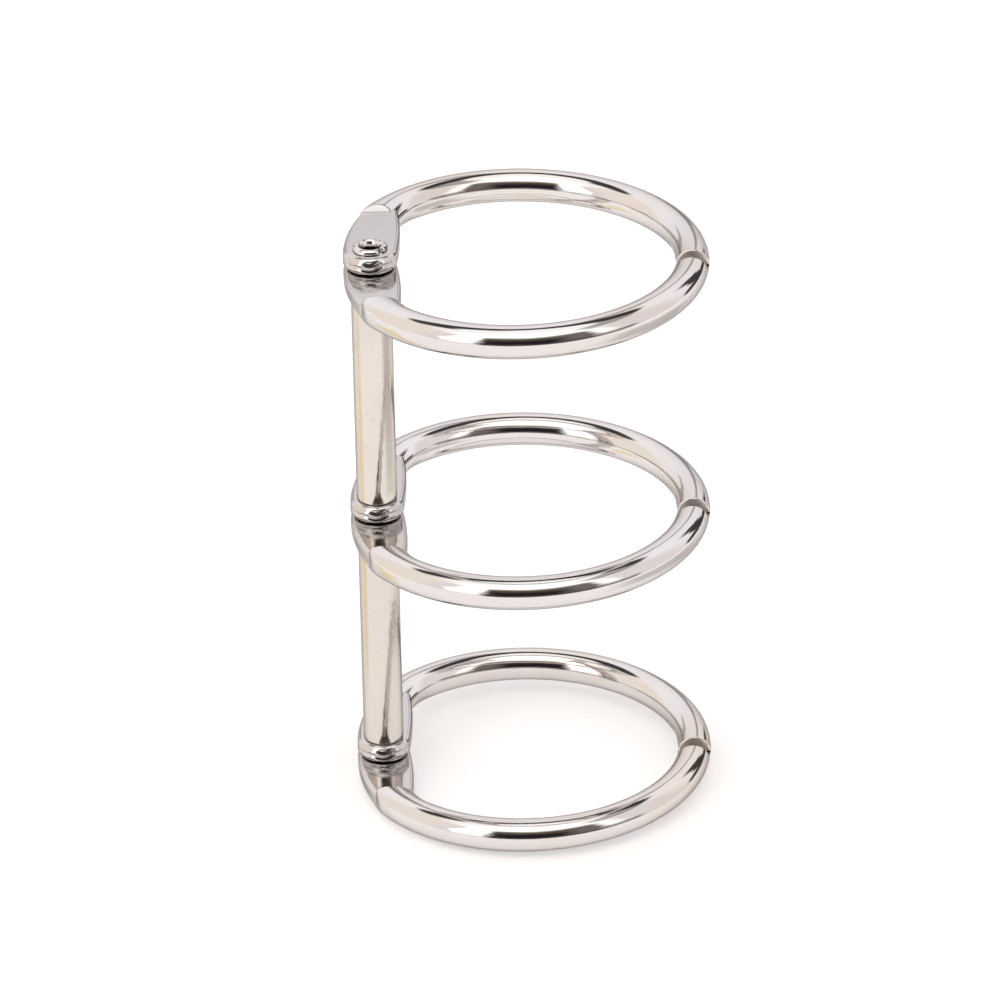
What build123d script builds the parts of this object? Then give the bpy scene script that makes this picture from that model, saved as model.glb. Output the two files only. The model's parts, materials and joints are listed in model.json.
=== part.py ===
"""Binder ring: three snap rings hinged on one riveted spine.

Each ring is two half rings of plated steel wire. The six halves are the same stamping: the front
halves are the back halves turned over. At the hinge the wire is coined into a flat lug, and the two
lugs of a ring lap on the rivet. They are thicker than half the wire, so each half leans a little, away
from the lap plane at the hinge and back to it at the mouth. There the wire is cut to half its height,
and the two tongues lap and snap. Spacer tubes on the rivet hold the rings at the sheets' hole pitch.

The frame is in millimetres: +Z runs along the spine, +X from the hinge to the mouth, +Y to the back.
The origin lies under the middle of the outline, on the surface that the lowest ring stands on.
"""
import os
from math import asin, degrees, radians, sqrt, tan

from build123d import *

# Rings
ring_names = ("bottom", "middle", "top")
tube_names = ("lower", "upper")
ring_pitch = 19.0
ring_radius = 11.55
wire_diameter = 2.3

# Hinge lugs
pin_inset = 1.3
lug_end_radius = 1.85
lug_waist_radius = 1.65
lug_waist_inset = 0.95
lug_waist_distance = 3.9
lug_root_distance = 5.6
lug_root_overlap = 1.3
lug_root_radius = 1.0
lug_thickness = 1.2
lug_step = 0.35
lug_edge_rounding = 0.3
lug_running_gap = 0.08
coining_draft_deg = 60.0
shoulder_draft_deg = 12.0
side_trim_depth = 0.4
side_trim_run = 1.6

# Mouth
tongue_reach = 1.15
mouth_gap = 1.0
tongue_clearance = 0.06
snap_ridge_radius = 0.22
snap_ridge_distance = 0.55
snap_clearance = 0.05
mouth_edge_rounding = 0.12

# Spine
rivet_diameter = 1.6
rivet_wall = 0.22
rivet_head_diameter = 2.4
rivet_head_height = 0.3
rivet_head_rounding = 0.24
pivot_clearance = 0.04
tube_wall = 0.56
tube_edge_rounding = 0.1
axial_play = 0.03

# Sizes that follow from those above
wire_radius = wire_diameter / 2
pin_distance = ring_radius - pin_inset
lug_low = lug_running_gap / 2
lug_high = lug_low + lug_thickness
seat_level = lug_high + axial_play
hinge_lift = lug_high + lug_step - wire_radius
lean_deg = degrees(asin(hinge_lift / (pin_distance + ring_radius)))
tongue_low = tongue_clearance / 2
rivet_radius = rivet_diameter / 2
bore_radius = rivet_radius + pivot_clearance
reach = ring_radius + wire_diameter
cut_height = wire_diameter
ring_center_x = (pin_distance + lug_end_radius - ring_radius - wire_radius) / 2
pin_x = ring_center_x - pin_distance


def ring_level(index):
    """Height of a ring's lap plane, where the lowest ring or the rivet's head stands on the surface."""
    half_depth = -front_half.bounding_box().min.Z
    return index * ring_pitch + max(half_depth, seat_level + rivet_head_height)


def prism(outline, length):
    """Solid of a (y, z) outline carried along X from the ring's middle, to -X if the length is negative."""
    return extrude(Plane.YZ * make_face(Polyline(*outline, close=True)), amount=length)


def wire():
    """A back half's wire: full height from the lug round to the mouth's shoulder, then an upper tongue."""
    ring = leaning_ring()
    tongue_room = [(-reach, tongue_low), (reach, tongue_low), (reach, cut_height), (-reach, cut_height)]
    upper_side = prism(tongue_room, reach)
    lower = stretch(ring, tongue_reach + mouth_gap) - upper_side
    upper = stretch(ring, -tongue_reach) & upper_side
    ridge = ring & snap_rod(snap_ridge_distance, tongue_low, snap_ridge_radius)
    groove = snap_rod(-snap_ridge_distance, -tongue_low, snap_ridge_radius + snap_clearance)
    return lower + upper + ridge - groove


def leaning_ring():
    """The whole ring that a half is cut from, leaning about its mouth, with its seam clear of the cuts."""
    ring = Rot(Z=-90) * Torus(ring_radius, wire_radius)
    return Pos(ring_radius, 0) * Rot(Y=lean_deg) * Pos(-ring_radius, 0) * ring


def stretch(ring, mouth_y):
    """The ring from the coined end at the lug, round the back, to a round-edged end at the mouth.

    The coined facet over the lug and the shoulder under it slope to a wedge inside the lug's thickness.
    """
    coining_slope = tan(radians(coining_draft_deg))
    shoulder_slope = tan(radians(shoulder_draft_deg))
    wedge_run = lug_thickness * coining_slope * shoulder_slope / (coining_slope + shoulder_slope)
    hinge_side = [
        (lug_root_distance - wedge_run, lug_high - wedge_run / coining_slope),
        (lug_root_distance + (cut_height + lug_low) * shoulder_slope, -cut_height),
        (reach, -cut_height),
        (reach, cut_height),
        (lug_root_distance + (cut_height - lug_high) * coining_slope, cut_height),
    ]
    mouth_side = [(mouth_y, -cut_height), (reach, -cut_height), (reach, cut_height), (mouth_y, cut_height)]
    piece = ring & (prism(hinge_side, -reach) + prism(mouth_side, reach))
    piece = piece - side_trim()
    mouth_face = piece.faces().filter_by(Axis.Y).sort_by(Axis.Y)[0]
    return fillet(mouth_face.edges(), mouth_edge_rounding)


def side_trim():
    """Room beside the lug, which takes the wire's outer side down to the lug's edge at its root."""
    outer_radius = ring_radius + wire_radius
    far_y = lug_root_distance + side_trim_run
    far_x = -sqrt(outer_radius**2 - far_y**2)
    root_x = side_trim_depth - sqrt(outer_radius**2 - lug_root_distance**2)
    near_x = root_x - (far_x - root_x) / side_trim_run * lug_root_distance
    outline = Polyline((far_x, far_y), (near_x, 0), (-reach, 0), (-reach, far_y), close=True)
    return extrude(make_face(outline), amount=cut_height, both=True)


def snap_rod(y, z, radius):
    """Round bar across the mouth, which makes a snap ridge or the groove for one."""
    return extrude(Plane.YZ * Pos(y, z) * Circle(radius), amount=reach)


def lug():
    """The flat lug: the hull of its round end on the pin, its waist and its root in the wire, bored."""
    waist_radius = ring_radius - lug_waist_inset
    waist_x = -sqrt(waist_radius**2 - lug_waist_distance**2)
    root_y = lug_root_distance + lug_root_overlap
    root_x = -sqrt(ring_radius**2 - root_y**2)
    rounds = (
        Pos(-pin_distance, 0) * Circle(lug_end_radius),
        Pos(waist_x, lug_waist_distance) * Circle(lug_waist_radius),
        Pos(root_x, root_y) * Circle(lug_root_radius),
    )
    outline = make_hull([edge for disc in rounds for edge in disc.edges()])
    plate = Pos(0, 0, lug_low) * extrude(outline, amount=lug_thickness)
    rims = plate.edges().filter_by(Axis.Z, reverse=True)
    plate = fillet(rims, lug_edge_rounding)
    return plate - Pos(-pin_distance, 0) * Cylinder(bore_radius, cut_height * 2)


def half_ring():
    """A back half in its ring's own frame. Turned over about X it is the front half."""
    return wire() + lug()


def turned(profile, rounding):
    """Tubular piece on the pin: a (radius, height) profile with its end corners rounded, turned about Z."""
    section = make_face(Polyline(*profile, close=True))
    corners = section.vertices().group_by(Axis.Y)
    section = fillet(corners[0] + corners[-1], rounding)
    return Pos(pin_x, 0) * revolve(Plane.XZ * section, Axis.Z)


def hinge_rivet():
    """The tubular rivet, rolled out over the lowest and the highest lug."""
    bore = rivet_radius - rivet_wall
    head = rivet_head_diameter / 2
    low = ring_level(0) - seat_level
    high = ring_level(len(ring_names) - 1) + seat_level
    profile = [
        (bore, low - rivet_head_height),
        (head, low - rivet_head_height),
        (head, low),
        (rivet_radius, low),
        (rivet_radius, high),
        (head, high),
        (head, high + rivet_head_height),
        (bore, high + rivet_head_height),
    ]
    return turned(profile, rivet_head_rounding)


def spacer_tube(index):
    """The tube that stands on one ring's upper lug and carries the lower lug of the next ring."""
    low = ring_level(index) + seat_level
    high = ring_level(index + 1) - seat_level
    outer = bore_radius + tube_wall
    profile = [(bore_radius, low), (outer, low), (outer, high), (bore_radius, high)]
    return turned(profile, tube_edge_rounding)


os.makedirs("parts", exist_ok=True)
back_half = half_ring()
front_half = Rot(X=180) * back_half
for index, name in enumerate(ring_names):
    place = Pos(ring_center_x, 0, ring_level(index))
    export_step(place * back_half, f"parts/{name}_back_half.step")
    export_step(place * front_half, f"parts/{name}_front_half.step")
for index, name in enumerate(tube_names):
    export_step(spacer_tube(index), f"parts/{name}_spacer_tube.step")
export_step(hinge_rivet(), "parts/hinge_rivet.step")
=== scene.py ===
"""Looks of a hinged binder ring: plated wire rings on a riveted spine, in a white light tent."""
import json
import math

import bpy
import numpy as np
from mathutils import Matrix, Vector


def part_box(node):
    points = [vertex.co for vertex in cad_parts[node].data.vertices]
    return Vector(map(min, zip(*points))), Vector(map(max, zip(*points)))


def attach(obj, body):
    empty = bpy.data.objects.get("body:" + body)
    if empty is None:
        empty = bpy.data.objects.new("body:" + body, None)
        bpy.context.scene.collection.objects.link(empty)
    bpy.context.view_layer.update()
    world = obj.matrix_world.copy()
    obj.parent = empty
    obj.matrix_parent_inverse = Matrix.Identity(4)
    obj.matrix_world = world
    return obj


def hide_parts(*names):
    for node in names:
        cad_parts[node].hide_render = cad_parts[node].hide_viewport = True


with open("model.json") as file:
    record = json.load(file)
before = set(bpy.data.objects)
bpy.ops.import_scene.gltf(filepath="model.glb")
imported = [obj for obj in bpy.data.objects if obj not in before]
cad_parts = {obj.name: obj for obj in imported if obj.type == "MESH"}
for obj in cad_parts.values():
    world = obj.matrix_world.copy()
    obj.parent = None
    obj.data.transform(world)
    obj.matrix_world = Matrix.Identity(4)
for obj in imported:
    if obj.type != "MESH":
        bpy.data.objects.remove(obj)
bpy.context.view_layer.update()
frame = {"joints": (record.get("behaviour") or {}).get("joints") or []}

bl_info = {
    "name": "Binder ring looks",
    "version": (1, 0, 0),
    "blender": (4, 5, 0),
    "location": "3D View > Sidebar > Binder ring",
    "description": "Makes the plated half rings, tubes and rivet of a binder ring, and its studio",
    "category": "Object",
}

MM = 0.001
TURN = 2.0 * math.pi
QUARTER = math.pi / 2
RING_NAMES = ("bottom", "middle", "top")
SIDES = ("back", "front")
TUBE_NAMES = ("lower", "upper")
IMAGE_SIZE = 1001.0
SENSOR_WIDTH = 36.0
PIVOTS = {joint["child"]: joint["pos_m"] for joint in frame["joints"]}
PIN_X = PIVOTS["bottom_back"][0]

# Rows and columns of the surfaces' grids
WIRE_COLUMNS = 72
EDGE_ROWS = 6
TONGUE_ROWS = 90
MOUTH_ROWS = 12
ARC_ROWS = 84
HINGE_ROWS = 130
LUG_COLUMNS = 240
LUG_CORNER_ROWS = 11
LUG_SIDE_ROWS = 16
HULL_DISCS = 17
TUBE_COLUMNS = 160
WALL_ROWS = 22
RIVET_COLUMNS = 240
BARREL_ROWS = 12
ROLL_ROWS = 33
SHARP_EDGE = math.radians(30.0)
FREE_ARC = (math.radians(38.0), math.radians(62.0))

# Plate: noise scales, per metre, and per radian round the ring
PATCH_SCALE = 130.0
WAVE_SCALE = 240.0
DENT_SCALE = 1100.0
SPECK_SCALE = 5200.0
LINES_ACROSS_SPINE, LINES_ALONG_SPINE = 5200.0, 90.0
LINES_ACROSS_WIRE, LINES_ROUND_RING = 4200.0, 5.0

# Plate: where its masks start and are full, and how strong they are
THIN_PATCHES = (0.5, 0.72)
SOIL_SPECKS, ROUGH_SPECKS = (0.58, 0.75), (0.6, 0.75)
COINED_REACH = (5.2 * MM, 6.4 * MM)
SHEARED_FACING, SHEARED_REACH = (0.75, 0.92), (8.0 * MM, 9.0 * MM)
SOIL_SHARE = 0.18
LINE_ROUGHNESS, DENT_ROUGHNESS, SPECK_ROUGHNESS, SHEARED_ROUGHNESS = 0.05, 0.10, 0.05, 0.25
LINE_DEPTH = 0.12

# Floor and the cards on it. A card has its height, the nearest and furthest that it reaches from the pin, its
# heading from +X, and the sine of the angle that it spreads to each side.
FLOOR_REACH, FLOOR_LIFT = 4.0, 0.3
CARD_REACH, CARD_COVER = 0.18, 0.88
WARM_CARD = (0.3 * MM, 12.0 * MM, 90.0 * MM, math.pi, 0.3)
GREY_CARD = (0.6 * MM, 34.0 * MM, 170.0 * MM, -0.1, 0.64)

# Light tent, in degrees. Azimuth 0 is in front, and +90 on the right. A pair says where a fade starts and ends,
# and a triple gives a band's middle, the half width of its core, and that of its rim. A share is how far a colour
# covers what is behind it.
BACK_WALL = (95.0, 118.0)
LEFT_WALL_FRONT, LEFT_WALL_BACK = (-72.0, -54.0), (-125.0, -105.0)
CEILING = (48.0, 66.0)
LEFT_LEG, LEFT_LEG_FOOT = (-41.0, 8.0, 13.0), (3.0, 9.0)
RIGHT_LEG, RIGHT_LEG_FOOT = (48.0, 5.0, 12.0), (12.0, 20.0)
CROWN, CROWN_ENDS = (66.0, 9.0, 20.0), (45.0, 75.0)
OPENING_LEFT, OPENING_RIGHT, OPENING_TOP = (-31.0, -26.0), (40.0, 47.0), (42.0, 58.0)
OPENING_PALE_TOP, OPENING_PALE_SIDE = (20.0, 50.0), (14.0, 30.0)
SILL, SILL_HEIGHT = (20.0, 46.0, 52.0), (3.0, 4.0, 10.0)
REAR_BAR_HEIGHT, REAR_BAR_END = (62.0, 5.5, 9.0), (35.0, 60.0)
POST, POST_TOP = (130.0, 4.0, 8.0), (30.0, 40.0)
CROSSBAR, CROSSBAR_HEIGHT = (131.0, 19.0, 25.0), (5.0, 3.5, 7.0)
LEFT_SEAM, LEFT_SEAM_TOP = (-150.0, 2.0, 5.0), (22.0, 30.0)
FOLD, FOLD_TOP = (167.0, 2.0, 4.5), (52.0, 60.0)
FOLD_SWAY, FOLD_SCALE = 16.0, 4.0
CREASE_SWAY, CREASE_SCALE = 9.0, 5.0
RIGHT_LEG_SHARE, SILL_SHARE, REAR_BAR_SHARE, REAR_BAR_END_SHARE = 0.55, 0.8, 0.97, 0.62
LEFT_SEAM_SHARE, FOLD_SHARE, SEAM_SHARE = 0.5, 0.6, 0.97


class Field:
    """A shader value: a socket whose arithmetic adds Math nodes to the tree that it belongs to."""

    def __init__(self, tree, socket=None):
        self.tree = tree
        self.socket = socket

    def node(self, kind, settings=None, inputs=None, output=0):
        """Adds a node of any type: its settings first, then its sockets' values or links. Gives one output."""
        node = self.tree.nodes.new(kind)
        for name, value in (settings or {}).items():
            setattr(node, name, value)
        for name, value in (inputs or {}).items():
            if isinstance(value, Field):
                self.tree.links.new(value.socket, node.inputs[name])
            else:
                node.inputs[name].default_value = value
        return Field(self.tree, node.outputs[output] if len(node.outputs) else None)

    def math(self, operation, *values):
        """One Math node on up to three values."""
        return self.node("ShaderNodeMath", {"operation": operation}, dict(enumerate(values)))

    def __add__(self, other):
        return self.math("ADD", self, other)

    def __radd__(self, other):
        return self.math("ADD", other, self)

    def __sub__(self, other):
        return self.math("SUBTRACT", self, other)

    def __rsub__(self, other):
        return self.math("SUBTRACT", other, self)

    def __mul__(self, other):
        return self.math("MULTIPLY", self, other)

    def __rmul__(self, other):
        return self.math("MULTIPLY", other, self)

    def __truediv__(self, other):
        return self.math("DIVIDE", self, other)

    def __rtruediv__(self, other):
        return self.math("DIVIDE", other, self)

    def __pow__(self, other):
        return self.math("POWER", self, other)

    def __rpow__(self, other):
        return self.math("POWER", other, self)

    def __abs__(self):
        return self.math("ABSOLUTE", self)

    def over(self, low, high):
        """Smooth step: 0 where the value is at or under low, 1 at or over high."""
        ends = {"From Min": low, "From Max": high, "Value": self}
        return self.node("ShaderNodeMapRange", {"interpolation_type": "SMOOTHSTEP"}, ends)

    def within(self, middle, core, rim):
        """1 where the value is within core of middle, 0 where it is rim or more from it."""
        return 1.0 - abs(self - middle).over(core, rim)

    def most(self, other):
        """The larger of this value and another."""
        return self.math("MAXIMUM", self, other)

    def blend(self, first, second):
        """Colour that goes from first to second as this value goes from 0 to 1."""
        return self.node("ShaderNodeMix", {"data_type": "RGBA"}, {0: self, 6: first, 7: second}, 2)

    def noise(self, place, scale, detail):
        """Noise from 0 to 1 over a place."""
        return self.node("ShaderNodeTexNoise", None, {"Vector": place, "Scale": scale, "Detail": detail})

    def parts(self, axes):
        """The named parts of a vector, one by one."""
        return [self.node("ShaderNodeSeparateXYZ", None, {0: self}, axis) for axis in axes]


def shade(red, green, blue):
    """A linear colour with full alpha."""
    return (red, green, blue, 1.0)


def length(name, description, millimetres):
    """A size that a user may change."""
    return bpy.props.FloatProperty(
        name=name, description=description, default=millimetres * MM, min=0.0, subtype="DISTANCE",
        unit="LENGTH", precision=6)


def angle(name, description, degrees):
    """An angle that a user may change."""
    return bpy.props.FloatProperty(
        name=name, description=description, default=math.radians(degrees), subtype="ANGLE", unit="ROTATION")


def color(name, description, linear):
    """A colour that a user may change."""
    return bpy.props.FloatVectorProperty(
        name=name, description=description, default=linear, size=3, min=0.0, max=2.0, subtype="COLOR")


class HalfRingSizes(bpy.types.PropertyGroup):
    """Sizes of a half ring."""

    ring_radius: length("Ring radius", "Radius of the ring at the middle of its wire", 11.55)
    wire_diameter: length("Wire diameter", "Thickness of the round wire", 2.292)
    pin_inset: length("Pin inset", "How far the pin stands inside the ring's line", 1.3)
    lug_end_radius: length("Lug end radius", "Radius of the lug's round end", 1.849)
    lug_waist_radius: length("Lug waist radius", "Half width of the lug at its waist", 1.65)
    lug_waist_inset: length("Lug waist inset", "How far the waist stands inside the ring's line", 0.95)
    lug_waist_distance: length("Lug waist distance", "Distance of the waist from the pin", 3.9)
    lug_root_distance: length("Lug root distance", "Distance of the coined facet from the pin", 5.6)
    lug_root_overlap: length("Lug root overlap", "How deep the lug's root runs into the wire", 1.3)
    lug_root_radius: length("Lug root radius", "Half width of the lug inside the wire", 0.8)
    lug_thickness: length("Lug thickness", "Thickness of the flat lug", 1.2)
    lug_step: length("Lug step", "Height of the wire over the lug's flat", 0.35)
    lug_rounding: length("Lug rounding", "Rounding of the lug's edges", 0.3)
    lug_end_rounding: length("Lug end rounding", "Rounding of the lug's top edge round its end", 0.5)
    lug_ripple: length("Lug ripple", "Depth of the ripples that coining leaves in the lug's end", 0.08)
    lug_gap: length("Lug gap", "Running gap between two lugs", 0.08)
    coining_draft: angle("Coining draft", "Slope of the coined facet from upright", 60.0)
    shoulder_draft: angle("Shoulder draft", "Slope of the shoulder under the lug from upright", 12.0)
    side_depth: length("Side depth", "How far coining pushes the wire's outer side in", 0.45)
    side_run: length("Side run", "Length over which the outer side runs into the lug", 1.6)
    side_bulge: length("Side bulge", "How far coining spreads the wire's inner side", 0.45)
    shoulder_softness: length("Shoulder softness", "Size of the round edge of the shoulder", 0.36)
    tongue_reach: length("Tongue reach", "How far a tongue passes the middle of the mouth", 1.15)
    mouth_gap: length("Mouth gap", "Gap between a tongue's end and the other shoulder", 1.0)
    tongue_gap: length("Tongue gap", "Gap between the two tongues", 0.06)
    ridge_radius: length("Snap ridge radius", "Radius of the ridge that snaps the mouth shut", 0.22)
    ridge_distance: length("Snap ridge distance", "Distance of the ridge from the middle of the mouth", 0.55)
    ridge_gap: length("Snap ridge gap", "Room round the ridge in its groove", 0.05)
    mouth_rounding: length("Mouth rounding", "Rounding of the wire's ends", 0.12)
    bore_radius: length("Lug bore radius", "Radius of the hole for the rivet", 0.84)


class SpineSizes(bpy.types.PropertyGroup):
    """Sizes of the tubes and the rivet."""

    tube_radius: length("Tube radius", "Outer radius of a spacer tube", 1.4)
    tube_bore: length("Tube bore", "Inner radius of a spacer tube", 0.84)
    tube_rounding: length("Tube rounding", "Rounding of a tube's ends", 0.12)
    tube_seam: length("Tube seam", "Depth of the butt seam along a tube's back", 0.05)
    rivet_radius: length("Rivet radius", "Outer radius of the rivet's barrel", 0.8)
    rivet_bore: length("Rivet bore", "Inner radius of the rivet's barrel", 0.58)
    head_radius: length("Head radius", "Outer radius of the rolled head", 1.2)
    head_height: length("Head height", "Height of the rolled head", 0.3)
    funnel_depth: length("Funnel depth", "Depth of the flared mouth of the rivet", 0.62)
    split_depth: length("Split depth", "Depth of the splits that rolling leaves in the head", 0.46)


class PlateFinish(bpy.types.PropertyGroup):
    """Finish of the bright plate."""

    wire_color: color("Wire colour", "Colour of the plate on the rings", (0.735, 0.705, 0.695))
    thin_color: color("Thin plate colour", "Colour where the plate is thin", (0.735, 0.675, 0.625))
    tube_color: color("Tube colour", "Colour of the plate on the tubes", (0.70, 0.645, 0.60))
    rivet_color: color("Rivet colour", "Colour of the plate on the rivet", (0.735, 0.70, 0.69))
    soil_color: color("Soil colour", "Colour of the specks in the coined lugs", (0.36, 0.33, 0.30))
    edge_color: color("Edge colour", "Tint of the reflection near a grazing angle", (0.42, 0.41, 0.41))
    roughness: bpy.props.FloatProperty(
        name="Roughness", description="Roughness of the polished plate", default=0.05, min=0.0, max=1.0,
        subtype="FACTOR")
    # Painted shade: how far the plate round the pin, where the lugs stack at the hinge, is darkened towards black.
    painted_lug_shade: bpy.props.FloatProperty(
        name="Painted lug shade", description="How much darker the coined lugs are than the wire", default=0.13,
        min=0.0, max=1.0, subtype="FACTOR")
    ripple: length("Ripple", "Depth of the long waves that bending leaves in the wire", 0.006)
    coining: length("Coining", "Depth of the dents that coining leaves in the lugs", 0.016)


class StudioSettings(bpy.types.PropertyGroup):
    """Camera, floor and tent."""

    elevation: angle("Elevation", "Height of the camera over the horizon", 28.23)
    azimuth: angle("Azimuth", "Turn of the camera round the part", -0.9)
    roll: angle("Roll", "Roll of the camera", 0.95)
    distance: length("Distance", "Distance from the camera to the middle ring", 480.0)
    aim_height: length("Aim height", "Height of the middle ring over the floor", 20.53)
    focal_pixels: bpy.props.FloatProperty(
        name="Focal length", description="Focal length in pixels of the picture", default=6959.6, min=1.0)
    offset_pixels: bpy.props.FloatVectorProperty(
        name="Offset", description="Place of the middle ring from the picture's middle, in pixels", size=2,
        default=(29.9, 9.1))
    floor_color: color("Floor colour", "Colour of the floor", (0.86, 0.855, 0.85))
    glow_color: color("Glow colour", "Light that lifts the floor to white where it shows", (1.0, 0.985, 0.985))
    wall_color: color("Wall colour", "Colour of the tent's walls", (0.96, 0.91, 0.92))
    back_color: color("Back colour", "Colour of the tent's back wall", (1.15, 1.12, 1.135))
    left_color: color("Left colour", "Colour of the tent's left wall", (1.08, 0.99, 0.90))
    ceiling_color: color("Ceiling colour", "Colour of the tent's ceiling", (1.28, 1.27, 1.25))
    panel_color: color("Panel colour", "Colour of the bright panel round the opening", (2.0, 1.98, 1.92))
    opening_color: color("Opening colour", "Colour of the dark opening in front", (0.02, 0.014, 0.02))
    opening_top_color: color("Opening top colour", "Colour of the opening's upper part", (0.16, 0.15, 0.10))
    opening_side_color: color("Opening side colour", "Colour of the opening's right side", (0.20, 0.18, 0.17))
    sill_color: color("Sill colour", "Colour of the strip under the opening", (0.10, 0.085, 0.09))
    bar_color: color("Bar colour", "Colour of the dark bar round the tent's rear", (0.02, 0.017, 0.018))
    seam_color: color("Seam colour", "Colour of the tent's seams and posts", (0.03, 0.025, 0.03))
    card_color: color("Warm card colour", "Colour of the warm card on the left", (1.05, 0.92, 0.56))
    grey_color: color("Grey card colour", "Colour of the grey card on the right", (0.66, 0.63, 0.62))


def smooth(low, high, value):
    """Smooth step of an array: 0 at or under low, 1 at or over high."""
    share = np.clip((value - low) / (high - low), 0.0, 1.0)
    return share * share * (3.0 - 2.0 * share)


def soft_over(excess, draft, softness):
    """Part of a height over a plane at a draft angle, rounded off where the surface meets the plane.

    The excess is turned to a distance from the plane. The rounding is a parabola as wide as the softness.
    """
    away = excess * math.sin(draft)
    share = np.clip(0.5 + 0.5 * away / softness, 0.0, 1.0)
    return (away * share + softness * share * (1.0 - share)) / math.sin(draft)


def grid_faces(rows, columns, loop_rows):
    """Four-sided faces of a grid whose columns close on themselves, and its rows too if asked."""
    row = np.arange(rows if loop_rows else rows - 1)[:, None] * columns
    column = np.arange(columns)[None, :]
    next_row = (row + columns) % (rows * columns)
    next_column = (column + 1) % columns
    corners = (row + column, next_row + column, next_row + next_column, row + next_column)
    return np.stack(corners, axis=-1).reshape(-1, 4)


def closed_strip(points):
    """Points and faces of a grid of rows, with a pole that closes the first row and one that closes the last."""
    rows, columns = points.shape[:2]
    first, last = rows * columns, rows * columns + 1
    vertices = np.concatenate((points.reshape(-1, 3), points[:1].mean(1), points[-1:].mean(1)))
    here = np.arange(columns)
    after = (here + 1) % columns
    start = np.stack((np.full(columns, first), here, after), axis=-1)
    end = np.stack((np.full(columns, last), after + first - columns, here + first - columns), axis=-1)
    return vertices, (grid_faces(rows, columns, False), start, end)


def closed_loop(points):
    """Points and faces of a grid that closes on itself in both directions."""
    rows, columns = points.shape[:2]
    return points.reshape(-1, 3), (grid_faces(rows, columns, True),)


def hinge_lift(sizes):
    """Height of a back half's wire over the lap plane at the hinge."""
    return sizes.lug_gap / 2 + sizes.lug_thickness + sizes.lug_step - sizes.wire_diameter / 2


def wire_rows(sizes):
    """Angles along the ring of the wire's rows, from the tongue's end to the lug, and how many make the tongue.

    Near the mouth and the hinge they come from even steps of Y, closer together at rounded edges. The arc between
    has even steps of the angle.
    """
    end, shoulder = sizes.tongue_reach, sizes.tongue_reach + sizes.mouth_gap
    rounding, root = sizes.mouth_rounding, sizes.lug_root_distance
    shoulder_face, past_mouth, past_facet = 0.002 * MM, 4.2 * MM, 8.0 * MM
    in_lug, wedge = 0.6 * MM, np.array((0.9, 1.2)) * MM
    edge = rounding * (1.0 - np.cos(np.linspace(0.0, QUARTER, EDGE_ROWS)))
    tongue = np.linspace(1.3 * rounding - end, shoulder - shoulder_face, TONGUE_ROWS)
    beside = np.linspace(shoulder + 1.5 * rounding, past_mouth, MOUTH_ROWS)
    mouth_y = np.concatenate((edge - end, tongue, shoulder + edge, beside))
    hinge_y = np.concatenate((np.linspace(past_facet, root - in_lug, HINGE_ROWS), root - wedge))
    near, far = np.arcsin(mouth_y / sizes.ring_radius), math.pi - np.arcsin(hinge_y / sizes.ring_radius)
    arc = np.linspace(near[-1], far[0], ARC_ROWS + 2)[1:-1]
    return np.concatenate((near, arc, far))[:, None], len(edge) + len(tongue)


def mouth_radius(sizes, along, upper, whole):
    """Radius of the wire, which shrinks by a quarter round to the tongue's end above and to the shoulder below."""
    rounding, y = sizes.mouth_rounding, np.sin(along) * sizes.ring_radius
    to_end = np.where(upper, y + sizes.tongue_reach, y - (sizes.tongue_reach + sizes.mouth_gap))
    edge = np.clip(rounding - np.where(whole, rounding, to_end), 0.0, rounding)
    return sizes.wire_diameter / 2 - rounding + np.sqrt(rounding ** 2 - edge ** 2)


def coined_sides(sizes, outward, to_root, round_it):
    """Distance from the ring's middle after coining, which pushes the outer side in and spreads the inner one."""
    lug_taper, push_fade, spread_fade = 0.35, 1.6 * sizes.side_run, 1.5 * sizes.side_run
    past_root = np.clip(-to_root, 0.0, None)
    push = sizes.side_depth * (1.0 - smooth(0.0, sizes.side_run, to_root)) + lug_taper * past_root
    limit = sizes.ring_radius + sizes.wire_diameter / 2 - push
    trimmed = soft_over(outward - limit, QUARTER, 0.6 * sizes.shoulder_softness)
    trimmed = trimmed * (1.0 - smooth(sizes.side_run, push_fade, to_root))
    spread = sizes.side_bulge * (1.0 - smooth(0.0, spread_fade, to_root))
    return outward - trimmed - spread * np.clip(-np.cos(round_it), 0.0, None)


def snapped_height(sizes, y, z):
    """Height on the tongue: held over its flat, with a round ridge that hangs from it and a round groove in it."""
    tongue, room = sizes.tongue_gap / 2, sizes.ridge_radius + sizes.ridge_gap
    ridge = np.sqrt(np.clip(sizes.ridge_radius ** 2 - (y - sizes.ridge_distance) ** 2, 0.0, None))
    groove = np.sqrt(np.clip(room ** 2 - (y + sizes.ridge_distance) ** 2, 0.0, None)) - tongue
    return np.maximum(z, np.maximum(tongue, groove) - ridge)


def coined_height(sizes, y, z):
    """Height at the hinge: held under the coined facet and over the shoulder, which meet in a wedge in the lug."""
    inside, wedge_slope, facet_softness = 0.03 * MM, 0.15, 0.1 * sizes.shoulder_softness
    low, high = sizes.lug_gap / 2 + inside, sizes.lug_gap / 2 + sizes.lug_thickness - inside
    past = np.clip(y - sizes.lug_root_distance, 0.0, None)
    before = wedge_slope * np.clip(sizes.lug_root_distance - y, 0.0, None)
    lid = high + past / math.tan(sizes.coining_draft) - before
    base = low - past / math.tan(sizes.shoulder_draft) + before
    cut = z - soft_over(z - lid, sizes.coining_draft, facet_softness)
    return cut + soft_over(base - cut, sizes.shoulder_draft, sizes.shoulder_softness)


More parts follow.
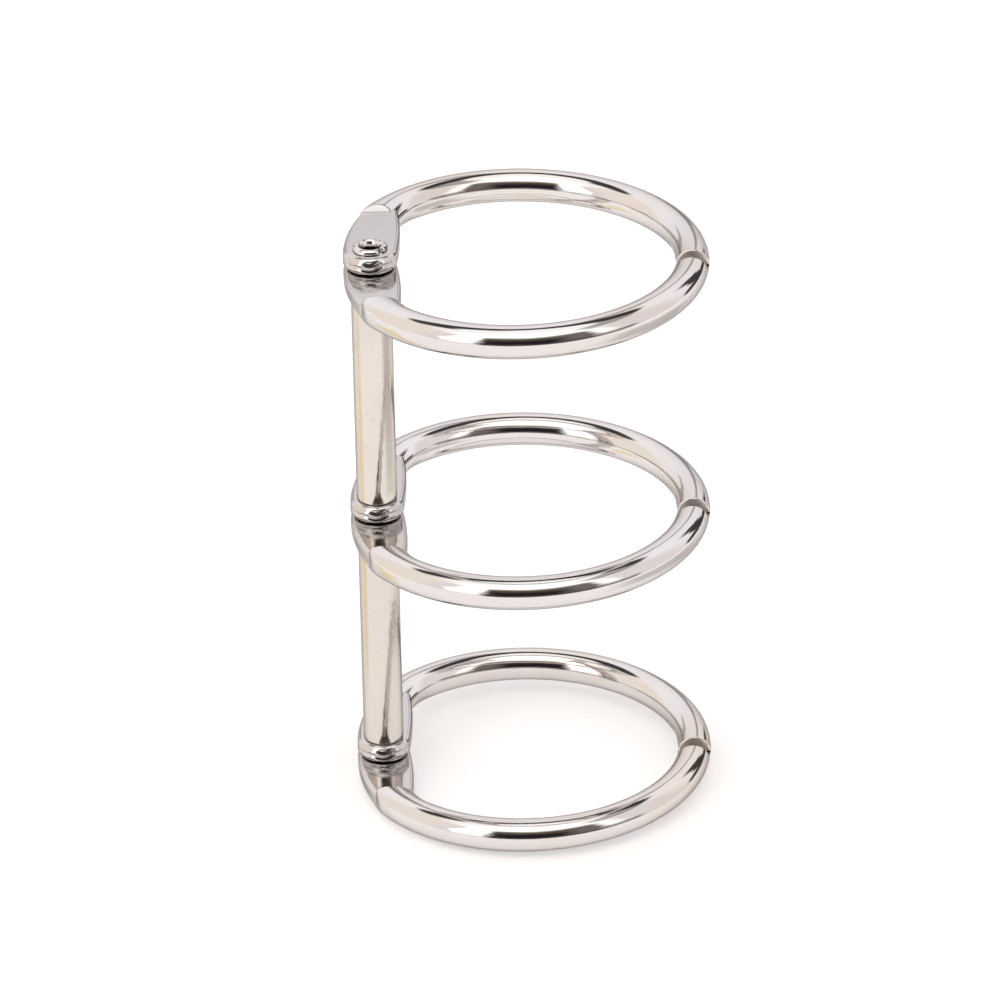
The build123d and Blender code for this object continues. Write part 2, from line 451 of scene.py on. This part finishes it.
def half_wire(sizes):
    """Wire of a back half, in its ring's own frame.

    A torus, point (angle along the ring, angle round the wire), leans about the mouth by the hinge's lift over the
    ring's width. Near the mouth and the hinge its rows lie in planes across Y, and over the free arc they turn to
    planes through the ring's middle. The mouth and the coined end then get their own heights.
    """
    ring, wire = sizes.ring_radius, sizes.wire_diameter / 2
    along, tongue_rows = wire_rows(sizes)
    round_it = TURN * np.arange(WIRE_COLUMNS)[None, :] / WIRE_COLUMNS
    on_tongue = np.arange(len(along))[:, None] < tongue_rows
    on_hinge = along > QUARTER
    upper = np.sin(round_it) >= 0.0
    radius = mouth_radius(sizes, along, upper, on_hinge | (on_tongue & ~upper))
    flat = np.arcsin(np.clip(np.sin(along) * ring / (ring + wire * np.cos(round_it)), -1.0, 1.0))
    flat = np.where(on_hinge, math.pi - flat, flat)
    free = smooth(*FREE_ARC, np.minimum(along, math.pi - along))
    heading = flat + (along - flat) * free
    outward = ring + radius * np.cos(round_it)
    to_root = outward * np.sin(heading) - sizes.lug_root_distance
    outward = np.where(on_hinge, coined_sides(sizes, outward, to_root, round_it), outward)
    x, y, z = outward * np.cos(heading) - ring, outward * np.sin(heading), radius * np.sin(round_it)
    lean = math.asin(hinge_lift(sizes) / (2.0 * ring - sizes.pin_inset))
    x, z = x * math.cos(lean) + z * math.sin(lean) + ring, z * math.cos(lean) - x * math.sin(lean)
    z = np.where(on_tongue, snapped_height(sizes, y, z), z)
    z = np.where(on_hinge, coined_height(sizes, y, z), z)
    return closed_strip(np.stack(np.broadcast_arrays(x, y, z), axis=-1))


def lug_discs(sizes):
    """Discs (x, y, radius) of a back half's lug, on the parabola through its pin, its waist and its root."""
    ring, root_y = sizes.ring_radius, sizes.lug_root_distance + sizes.lug_root_overlap
    waist, waist_y = ring - sizes.lug_waist_inset, sizes.lug_waist_distance
    share, at_waist = np.linspace(0.0, 1.0, HULL_DISCS)[:, None], 0.55
    weights = np.concatenate((
        (share - at_waist) * (share - 1.0) / at_waist,
        share * (share - 1.0) / (at_waist * (at_waist - 1.0)),
        share * (share - at_waist) / (1.0 - at_waist)), axis=1)
    return weights @ np.array((
        (sizes.pin_inset - ring, 0.0, sizes.lug_end_radius),
        (-math.sqrt(waist ** 2 - waist_y ** 2), waist_y, sizes.lug_waist_radius),
        (-math.sqrt(ring ** 2 - root_y ** 2), root_y, sizes.lug_root_radius)))


def coined_lug(sizes):
    """Flat lug of a back half, in its ring's own frame.

    The point of its outline that faces a direction is the middle of the disc that reaches furthest that way, plus
    its radius along that direction. A profile with rounded edges, measured in from the outline, is carried round it
    and back through the bore. Round the end its top edge is rounder, and wavy bands, sines of the height and
    the direction, ripple its side.
    """
    discs = lug_discs(sizes)
    facing = TURN * np.arange(LUG_COLUMNS) / LUG_COLUMNS
    normal = np.stack((np.cos(facing), np.sin(facing)), axis=-1)
    furthest = discs[np.argmax(normal @ discs[:, :2].T + discs[:, 2], axis=1)]
    outline = furthest[:, :2] + normal * furthest[:, 2:]
    low, high = sizes.lug_gap / 2, sizes.lug_gap / 2 + sizes.lug_thickness
    corner = np.linspace(0.0, QUARTER, LUG_CORNER_ROWS)[None, :]
    outer_side = smooth(0.0, 0.6, -0.6 * normal[:, 0] - 0.8 * normal[:, 1])[:, None]
    top = sizes.lug_rounding + (sizes.lug_end_rounding - sizes.lug_rounding) * outer_side
    bottom = np.broadcast_to(sizes.lug_rounding, top.shape)
    rise = np.linspace(0.0, 1.0, LUG_SIDE_ROWS + 2)[None, 1:-1]
    side = low + bottom + (sizes.lug_thickness - bottom - top) * rise
    height = np.concatenate(
        (low + bottom * (1.0 - np.cos(corner)), side, high - top * (1.0 - np.sin(corner))), axis=1)
    inset = np.concatenate(
        (bottom * (1.0 - np.sin(corner)), np.zeros_like(side), top * (1.0 - np.cos(corner))), axis=1)
    inset = inset + sizes.lug_ripple * end_ripples(normal, facing[:, None], height, low, high)
    chamfer = 0.05 * MM
    bore = sizes.bore_radius + np.array((chamfer, 0.0, 0.0, chamfer))
    bore_height = np.broadcast_to((high, high - chamfer, low + chamfer, low), (len(facing), len(bore)))
    outer = outline[:, None, :] - normal[:, None, :] * inset[:, :, None]
    inner = discs[0, :2] + normal[:, None, :] * bore[None, :, None]
    flat = np.concatenate((outer, inner), axis=1)
    levels = np.concatenate((height, bore_height), axis=1)
    return closed_loop(np.concatenate((flat, levels[..., None]), axis=-1))


def end_ripples(normal, turn, height, low, high):
    """Ripples from 0 to 1 round the lug's end: bands of height that sway with the turn and fade at both edges."""
    band_height, top_fade, bottom_fade = 0.46 * MM, 0.3 * MM, 0.2 * MM
    sway = 1.5 * np.sin(3.0 * turn + 0.5) + 0.8 * np.sin(7.0 * turn)
    bands = np.sin(TURN * (height - low) / band_height + sway)
    level = smooth(high, high - top_fade, height) * smooth(low, low + bottom_fade, height)
    at_end = smooth(0.2, 0.75, -normal[:, 1])[:, None]
    return at_end * level * (0.5 + 0.5 * bands)


def turned(radius, height, around):
    """A closed profile of (radius, height) turned about the pin. The radius may change with the turn."""
    radius, height = np.broadcast_arrays(np.atleast_2d(radius), np.atleast_2d(height))
    x = PIN_X + radius * np.cos(around)[:, None]
    y = radius * np.sin(around)[:, None]
    return closed_loop(np.stack(np.broadcast_arrays(x, y, height), axis=-1))


def angle_from(around, place):
    """Angles measured from a place on the turn, between minus and plus half a turn."""
    return (around - place + math.pi) % TURN - math.pi


def rolled_tube(sizes, low, high):
    """Spacer tube: a round-ended wall turned about the pin, a little out of round, with a shallow butt seam.

    The seam is a narrow bell-shaped groove. The turn's steps are closer together near it.
    """
    seam_at, seam_width, crowding, oval = math.radians(63.0), 0.035, 0.69, 0.006 * MM
    share = np.arange(TUBE_COLUMNS) / TUBE_COLUMNS
    around = seam_at + TURN * share - crowding * np.sin(TURN * share)
    away = angle_from(around, seam_at)
    corner = np.linspace(0.0, QUARTER, EDGE_ROWS)
    rising, falling = 1.0 - np.cos(corner), 1.0 - np.sin(corner)
    outer, bore, rounding, lip = sizes.tube_radius, sizes.tube_bore, sizes.tube_rounding, 0.5 * sizes.tube_rounding
    wall = np.linspace(low + rounding, high - rounding, WALL_ROWS + 2)[1:-1]
    radius = np.concatenate((
        outer - rounding * falling, np.full(WALL_ROWS, outer), outer - rounding * rising,
        bore + lip * falling, bore + lip * rising))
    height = np.concatenate((
        low + rounding * rising, wall, high - rounding * falling, high - lip * rising, low + lip * falling))
    groove = sizes.tube_seam * np.exp(-(away / seam_width) ** 2) + oval * (1.0 - np.cos(2.0 * away))
    return turned(radius[None, :] - groove[:, None] * smooth(bore, outer, radius)[None, :], height, around)


def rolled_rivet(sizes, low, high):
    """Tubular rivet with rolled heads: barrel, two half-round rolls and flared mouths, turned about the pin.

    The upper roll's reach goes up and down in slow waves and has three bell-shaped splits.
    """
    split_places, split_width, split_drop = ((-46.0, 1.0), (37.0, 0.9), (150.0, 0.3)), 0.13, 0.3
    around = TURN * np.arange(RIVET_COLUMNS) / RIVET_COLUMNS
    middle, half = (sizes.rivet_bore + sizes.head_radius) / 2, (sizes.head_radius - sizes.rivet_bore) / 2
    over, top = np.linspace(0.0, math.pi, ROLL_ROWS), ROLL_ROWS // 2 + 1
    depth = np.where(over < QUARTER, sizes.head_height, sizes.funnel_depth) * (1.0 - np.sin(over))
    roll = middle + half * np.cos(over)
    seats = low + sizes.head_height, high - sizes.head_height
    radius = np.concatenate((
        roll[:top][::-1], np.full(BARREL_ROWS, sizes.rivet_radius), roll, roll[top:][::-1]))
    height = np.concatenate((
        low + depth[:top][::-1], np.linspace(*seats, BARREL_ROWS), high - depth, low + depth[top:][::-1]))
    waves = MM * (0.025 * np.sin(2.0 * around + 0.7) + 0.02 * np.sin(5.0 * around + 0.4) - 0.03)
    splits = sum(
        share * np.exp(-(angle_from(around, math.radians(place)) / split_width) ** 2)
        for place, share in split_places)
    reach = smooth(middle - 0.4 * half, sizes.head_radius, radius) * (height > (low + high) / 2)
    change = (waves - sizes.split_depth * splits)[:, None] * reach[None, :]
    drop = split_drop * sizes.split_depth * splits[:, None] * (reach * (height > seats[1]))[None, :]
    return turned(radius[None, :] + change, height[None, :] - drop, around)


def make_piece(name, shells, material, body, node):
    """One smooth-shaded mesh of closed shells that rides on a body and stands for a solid."""
    starts = np.cumsum([0, *(len(points) for points, _ in shells)])
    vertices = np.concatenate([points for points, _ in shells])
    faces = sum(((grid + start).tolist() for (_, grids), start in zip(shells, starts) for grid in grids), [])
    mesh = bpy.data.meshes.new(name)
    mesh.from_pydata(vertices, [], faces)
    mesh.polygons.foreach_set("use_smooth", np.ones(len(faces), dtype=bool))
    mesh.set_sharp_from_angle(angle=SHARP_EDGE)
    mesh.materials.append(material)
    piece = bpy.data.objects.new(name, mesh)
    bpy.context.scene.collection.objects.link(piece)
    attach(piece, body)
    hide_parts(node)


def plate_material(name, finish, plate_color, ring_x=None):
    """Bright plate: patches of thin, warm plate, lines from drawing, long waves, and specks and dents near the pin.

    The lines run along the spine. On a ring, whose middle is given, they run round it, the coined lugs get painted
    shade that darkens their colour towards black, and the sheared ends of the wire at the mouth are rough.
    """
    material = bpy.data.materials.new(name)
    material.use_nodes = True
    tree = material.node_tree
    tree.nodes.clear()
    start = Field(tree)
    place = start.node("ShaderNodeTexCoord", output="Object")
    x, y, z = place.parts("XYZ")
    from_pin = ((x - PIN_X) ** 2.0 + y ** 2.0) ** 0.5
    coined = 1.0 - from_pin.over(*COINED_REACH)
    thin = start.noise(place, PATCH_SCALE, 2.0).over(*THIN_PATCHES)
    plated = thin.blend(shade(*plate_color), shade(*finish.thin_color))
    if ring_x is None:
        stretched = {0: x * LINES_ACROSS_SPINE, 1: y * LINES_ACROSS_SPINE, 2: z * LINES_ALONG_SPINE}
    else:
        from_ring = ((x - ring_x) ** 2.0 + y ** 2.0) ** 0.5
        turn = start.math("ARCTAN2", y, x - ring_x)
        stretched = {0: from_ring * LINES_ACROSS_WIRE, 1: z * LINES_ACROSS_WIRE, 2: turn * LINES_ROUND_RING}
        # Painted shade: the plate round the pin, where the lugs stack at the hinge, is darkened towards black.
        plated = (finish.painted_lug_shade * coined).blend(plated, shade(0.0, 0.0, 0.0))
    lines = start.noise(start.node("ShaderNodeCombineXYZ", None, stretched), 1.0, 2.0)
    waves = start.noise(place, WAVE_SCALE, 1.0)
    dents = start.noise(place, DENT_SCALE, 2.0)
    specks = start.noise(place, SPECK_SCALE, 2.0)
    soiled = (SOIL_SHARE * specks.over(*SOIL_SPECKS) * coined).blend(plated, shade(*finish.soil_color))
    roughness = finish.roughness + LINE_ROUGHNESS * lines + DENT_ROUGHNESS * coined * dents
    roughness = roughness + SPECK_ROUGHNESS * specks.over(*ROUGH_SPECKS)
    if ring_x is not None:
        facing_y, = start.node("ShaderNodeTexCoord", output="Normal").parts("Y")
        sheared = abs(facing_y).over(*SHEARED_FACING) * x.over(*SHEARED_REACH)
        roughness = roughness + SHEARED_ROUGHNESS * sheared
    height = waves * finish.ripple + lines * (LINE_DEPTH * finish.ripple) + coined * dents * finish.coining
    bump = start.node("ShaderNodeBump", None, {"Height": height, "Distance": 1.0, "Strength": 1.0})
    surface = start.node("ShaderNodeBsdfPrincipled", None, {
        "Base Color": soiled, "Metallic": 1.0, "Roughness": roughness,
        "Specular Tint": shade(*finish.edge_color), "Normal": bump})
    start.node("ShaderNodeOutputMaterial", None, {"Surface": surface})
    return material


class BINDER_OT_half_rings(bpy.types.Operator):
    """Make the six plated half rings"""

    bl_idname = "binder.half_rings"
    bl_label = "Half rings"

    def execute(self, context):
        sizes, finish = context.scene.half_ring_sizes, context.scene.plate_finish
        ring_x = PIN_X + sizes.ring_radius - sizes.pin_inset
        material = plate_material("ring_wire_plate", finish, finish.wire_color, ring_x)
        shells = half_wire(sizes), coined_lug(sizes)
        for name in RING_NAMES:
            for side in SIDES:
                body = f"{name}_{side}"
                turned_over = np.array((1.0, 1.0, 1.0) if side == "back" else (1.0, -1.0, -1.0))
                place = np.array((ring_x, 0.0, PIVOTS[body][2]))
                placed = [(points * turned_over + place, faces) for points, faces in shells]
                make_piece(f"{body}_half_ring", placed, material, body, f"{body}_half")
        return {"FINISHED"}


class BINDER_OT_spacer_tubes(bpy.types.Operator):
    """Make the two rolled spacer tubes"""

    bl_idname = "binder.spacer_tubes"
    bl_label = "Spacer tubes"

    def execute(self, context):
        sizes, finish = context.scene.spine_sizes, context.scene.plate_finish
        material = plate_material("spacer_tube_plate", finish, finish.tube_color)
        for name in TUBE_NAMES:
            node = f"{name}_spacer_tube"
            low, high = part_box(node)
            shell = rolled_tube(sizes, low.z, high.z)
            make_piece(f"{name}_rolled_tube", [shell], material, "spine", node)
        return {"FINISHED"}


class BINDER_OT_hinge_rivet(bpy.types.Operator):
    """Make the tubular rivet with its rolled heads"""

    bl_idname = "binder.hinge_rivet"
    bl_label = "Hinge rivet"

    def execute(self, context):
        finish = context.scene.plate_finish
        material = plate_material("rivet_plate", finish, finish.rivet_color)
        low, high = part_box("hinge_rivet")
        shell = rolled_rivet(context.scene.spine_sizes, low.z, high.z)
        make_piece("rolled_rivet", [shell], material, "spine", "hinge_rivet")
        return {"FINISHED"}


class BINDER_OT_studio(bpy.types.Operator):
    """Set the camera, the floor, its two cards and the light tent"""

    bl_idname = "binder.studio"
    bl_label = "Studio"

    def execute(self, context):
        settings = context.scene.studio_settings
        set_camera(settings)
        set_floor(settings)
        set_card("warm_card", settings.card_color, *WARM_CARD)
        set_card("grey_card", settings.grey_color, *GREY_CARD)
        set_tent(settings)
        context.scene.view_settings.view_transform = "Standard"
        return {"FINISHED"}


def set_camera(settings):
    """Camera that sees the middle ring at the given angles, distance and place in the picture."""
    rise, level = math.sin(settings.elevation), math.cos(settings.elevation)
    side, ahead = math.sin(settings.azimuth), math.cos(settings.azimuth)
    back = Vector((side * level, -ahead * level, rise))
    right = Vector((ahead, side, 0.0))
    up = back.cross(right)
    rolled_right = right * math.cos(settings.roll) - up * math.sin(settings.roll)
    rolled_up = right * math.sin(settings.roll) + up * math.cos(settings.roll)
    eye = Vector((0.0, 0.0, settings.aim_height)) + back * settings.distance
    across, down = settings.offset_pixels
    backward = (back + (rolled_right * across - rolled_up * down) / settings.focal_pixels).normalized()
    new_right = rolled_up.cross(backward).normalized()
    new_up = backward.cross(new_right)
    data = bpy.data.cameras.new("studio_camera")
    data.sensor_width = SENSOR_WIDTH
    data.lens = settings.focal_pixels * SENSOR_WIDTH / IMAGE_SIZE
    data.clip_start, data.clip_end = 0.01, 50.0
    camera = bpy.data.objects.new("studio_camera", data)
    turn = Matrix((new_right, new_up, backward)).transposed()
    camera.matrix_world = Matrix.Translation(eye) @ turn.to_4x4()
    bpy.context.scene.collection.objects.link(camera)
    bpy.context.scene.camera = camera


def stage_sheet(name, reach, height):
    """A flat square sheet of the stage round the origin, with an empty material tree to fill."""
    corners = [(x * reach, y * reach, height) for x, y in ((-1, -1), (1, -1), (1, 1), (-1, 1))]
    mesh = bpy.data.meshes.new(name)
    mesh.from_pydata(corners, [], [(0, 1, 2, 3)])
    sheet = bpy.data.objects.new(name, mesh)
    bpy.context.scene.collection.objects.link(sheet)
    material = bpy.data.materials.new(name)
    material.use_nodes = True
    material.node_tree.nodes.clear()
    mesh.materials.append(material)
    return sheet, Field(material.node_tree)


def set_floor(settings):
    """Flat pale floor: it keeps the shadow, and is lifted to white where it is seen or reflected."""
    _, start = stage_sheet("studio_floor", FLOOR_REACH, 0.0)
    camera, glossy, clear = (
        start.node("ShaderNodeLightPath", output=f"Is {kind} Ray") for kind in ("Camera", "Glossy", "Transmission"))
    seen = camera.most(glossy.most(clear))
    paper = start.node("ShaderNodeBsdfDiffuse", None, {"Color": shade(*settings.floor_color)})
    glow = start.node("ShaderNodeEmission", None, {"Color": shade(*settings.glow_color), "Strength": FLOOR_LIFT})
    lifted = start.node("ShaderNodeAddShader", None, {0: paper, 1: glow})
    both = start.node("ShaderNodeMixShader", None, {0: seen, 1: paper, 2: lifted})
    start.node("ShaderNodeOutputMaterial", None, {"Surface": both})


def set_card(name, paint, height, near, far, heading, spread):
    """Card that lies on the floor beside the part, out of the picture, and shows only in reflections.

    It fills a band of distances and of headings from the pin, and fades at its edges. Heading 0 is to the right.
    """
    card, start = stage_sheet(name, CARD_REACH, height)
    x, y = start.node("ShaderNodeTexCoord", output="Object").parts("XY")
    ahead = (x - PIN_X) * math.cos(heading) + y * math.sin(heading)
    away = ((x - PIN_X) ** 2.0 + y ** 2.0) ** 0.5
    aside = (y * math.cos(heading) - (x - PIN_X) * math.sin(heading)) / away
    fade = away.over(near, 1.6 * near) * (1.0 - away.over(0.65 * far, far)) * ahead.over(0.0, 1.0 * MM)
    fade = fade * aside.within(0.0, 0.35 * spread, spread)
    glow = start.node("ShaderNodeEmission", None, {"Color": shade(*paint), "Strength": 1.0})
    clear = start.node("ShaderNodeBsdfTransparent")
    both = start.node("ShaderNodeMixShader", None, {0: CARD_COVER * fade, 1: clear, 2: glow})
    start.node("ShaderNodeOutputMaterial", None, {"Surface": both})
    card.visible_camera = False
    card.visible_diffuse = False
    card.visible_shadow = False


def set_tent(settings):
    """White light tent: pale walls, a bright panel over and beside its dark opening in front, and its seams.

    Soft noise sways the angles, so that no edge is straight.
    """
    world = bpy.data.worlds.new("light_tent")
    world.use_nodes = True
    world.node_tree.nodes.clear()
    start = Field(world.node_tree)
    heading = start.node("ShaderNodeTexCoord", output="Generated")
    x, y, z = heading.parts("XYZ")
    folds = start.noise(heading, FOLD_SCALE, 3.0)
    creases = start.node(
        "ShaderNodeTexNoise", {"noise_dimensions": "4D"}, {"Vector": heading, "W": 3.0, "Scale": CREASE_SCALE})
    to_degrees = 180.0 / math.pi
    azimuth = start.math("ARCTAN2", x, -1.0 * y) * to_degrees + FOLD_SWAY * (folds - 0.5)
    height = start.math("ARCSINE", z) * to_degrees + CREASE_SWAY * (creases - 0.5)

    behind = abs(azimuth).over(*BACK_WALL)
    left = (1.0 - azimuth.over(*LEFT_WALL_FRONT)) * azimuth.over(*LEFT_WALL_BACK)
    lit = behind.blend(shade(*settings.wall_color), shade(*settings.back_color))
    lit = left.blend(lit, shade(*settings.left_color))
    lit = height.over(*CEILING).blend(lit, shade(*settings.ceiling_color))

    left_leg = azimuth.within(*LEFT_LEG) * height.over(*LEFT_LEG_FOOT)
    right_leg = RIGHT_LEG_SHARE * azimuth.within(*RIGHT_LEG) * height.over(*RIGHT_LEG_FOOT)
    crown = height.within(*CROWN) * (1.0 - abs(azimuth).over(*CROWN_ENDS))
    lit = left_leg.most(right_leg).most(crown).blend(lit, shade(*settings.panel_color))

    opening = azimuth.over(*OPENING_LEFT) * (1.0 - azimuth.over(*OPENING_RIGHT))
    opening = opening * (1.0 - height.over(*OPENING_TOP))
    dark = height.over(*OPENING_PALE_TOP)
    dark = dark.blend(shade(*settings.opening_color), shade(*settings.opening_top_color))
    dark = azimuth.over(*OPENING_PALE_SIDE).blend(dark, shade(*settings.opening_side_color))
    lit = opening.blend(lit, dark)
    sill = azimuth.within(*SILL) * height.within(*SILL_HEIGHT)
    lit = (SILL_SHARE * sill).blend(lit, shade(*settings.sill_color))

    bar_reach = (REAR_BAR_SHARE * behind).most(REAR_BAR_END_SHARE * azimuth.over(*REAR_BAR_END))
    rear_bar = height.within(*REAR_BAR_HEIGHT) * bar_reach
    lit = rear_bar.blend(lit, shade(*settings.bar_color))
    post = azimuth.within(*POST) * (1.0 - height.over(*POST_TOP))
    crossbar = azimuth.within(*CROSSBAR) * height.within(*CROSSBAR_HEIGHT)
    left_seam = LEFT_SEAM_SHARE * azimuth.within(*LEFT_SEAM) * (1.0 - height.over(*LEFT_SEAM_TOP))
    fold = FOLD_SHARE * azimuth.within(*FOLD) * (1.0 - height.over(*FOLD_TOP))
    seams = post.most(crossbar).most(left_seam.most(fold))
    lit = (SEAM_SHARE * seams).blend(lit, shade(*settings.seam_color))

    tent = start.node("ShaderNodeBackground", None, {"Color": lit, "Strength": 1.0})
    plain = start.node("ShaderNodeBackground", None, {"Color": shade(1.0, 1.0, 1.0), "Strength": 1.0})
    camera = start.node("ShaderNodeLightPath", output="Is Camera Ray")
    both = start.node("ShaderNodeMixShader", None, {0: camera, 1: tent, 2: plain})
    start.node("ShaderNodeOutputWorld", None, {"Surface": both})
    bpy.context.scene.world = world


class BINDER_PT_looks(bpy.types.Panel):
    """Lists the pieces and their sizes and colours"""

    bl_idname = "BINDER_PT_looks"
    bl_label = "Binder ring"
    bl_space_type = "VIEW_3D"
    bl_region_type = "UI"
    bl_category = "Binder ring"

    def draw(self, context):
        for operator in OPERATORS:
            self.layout.operator(operator.bl_idname)
        for group in GROUPS:
            box = self.layout.box()
            for name in GROUPS[group].__annotations__:
                box.prop(getattr(context.scene, group), name)


GROUPS = {
    "half_ring_sizes": HalfRingSizes,
    "spine_sizes": SpineSizes,
    "plate_finish": PlateFinish,
    "studio_settings": StudioSettings,
}
OPERATORS = (BINDER_OT_half_rings, BINDER_OT_spacer_tubes, BINDER_OT_hinge_rivet, BINDER_OT_studio)
CLASSES = (*GROUPS.values(), *OPERATORS, BINDER_PT_looks)


def register():
    """Adds the classes, and a set of settings to each scene."""
    for item in CLASSES:
        bpy.utils.register_class(item)
    for name, group in GROUPS.items():
        setattr(bpy.types.Scene, name, bpy.props.PointerProperty(type=group))


def unregister():
    """Takes the settings and the classes away again."""
    for name in GROUPS:
        delattr(bpy.types.Scene, name)
    for item in reversed(CLASSES):
        bpy.utils.unregister_class(item)


def main():
    """Makes the pieces and the studio."""
    register()
    bpy.ops.binder.half_rings()
    bpy.ops.binder.spacer_tubes()
    bpy.ops.binder.hinge_rivet()
    bpy.ops.binder.studio()


if __name__ == "__main__":
    main()
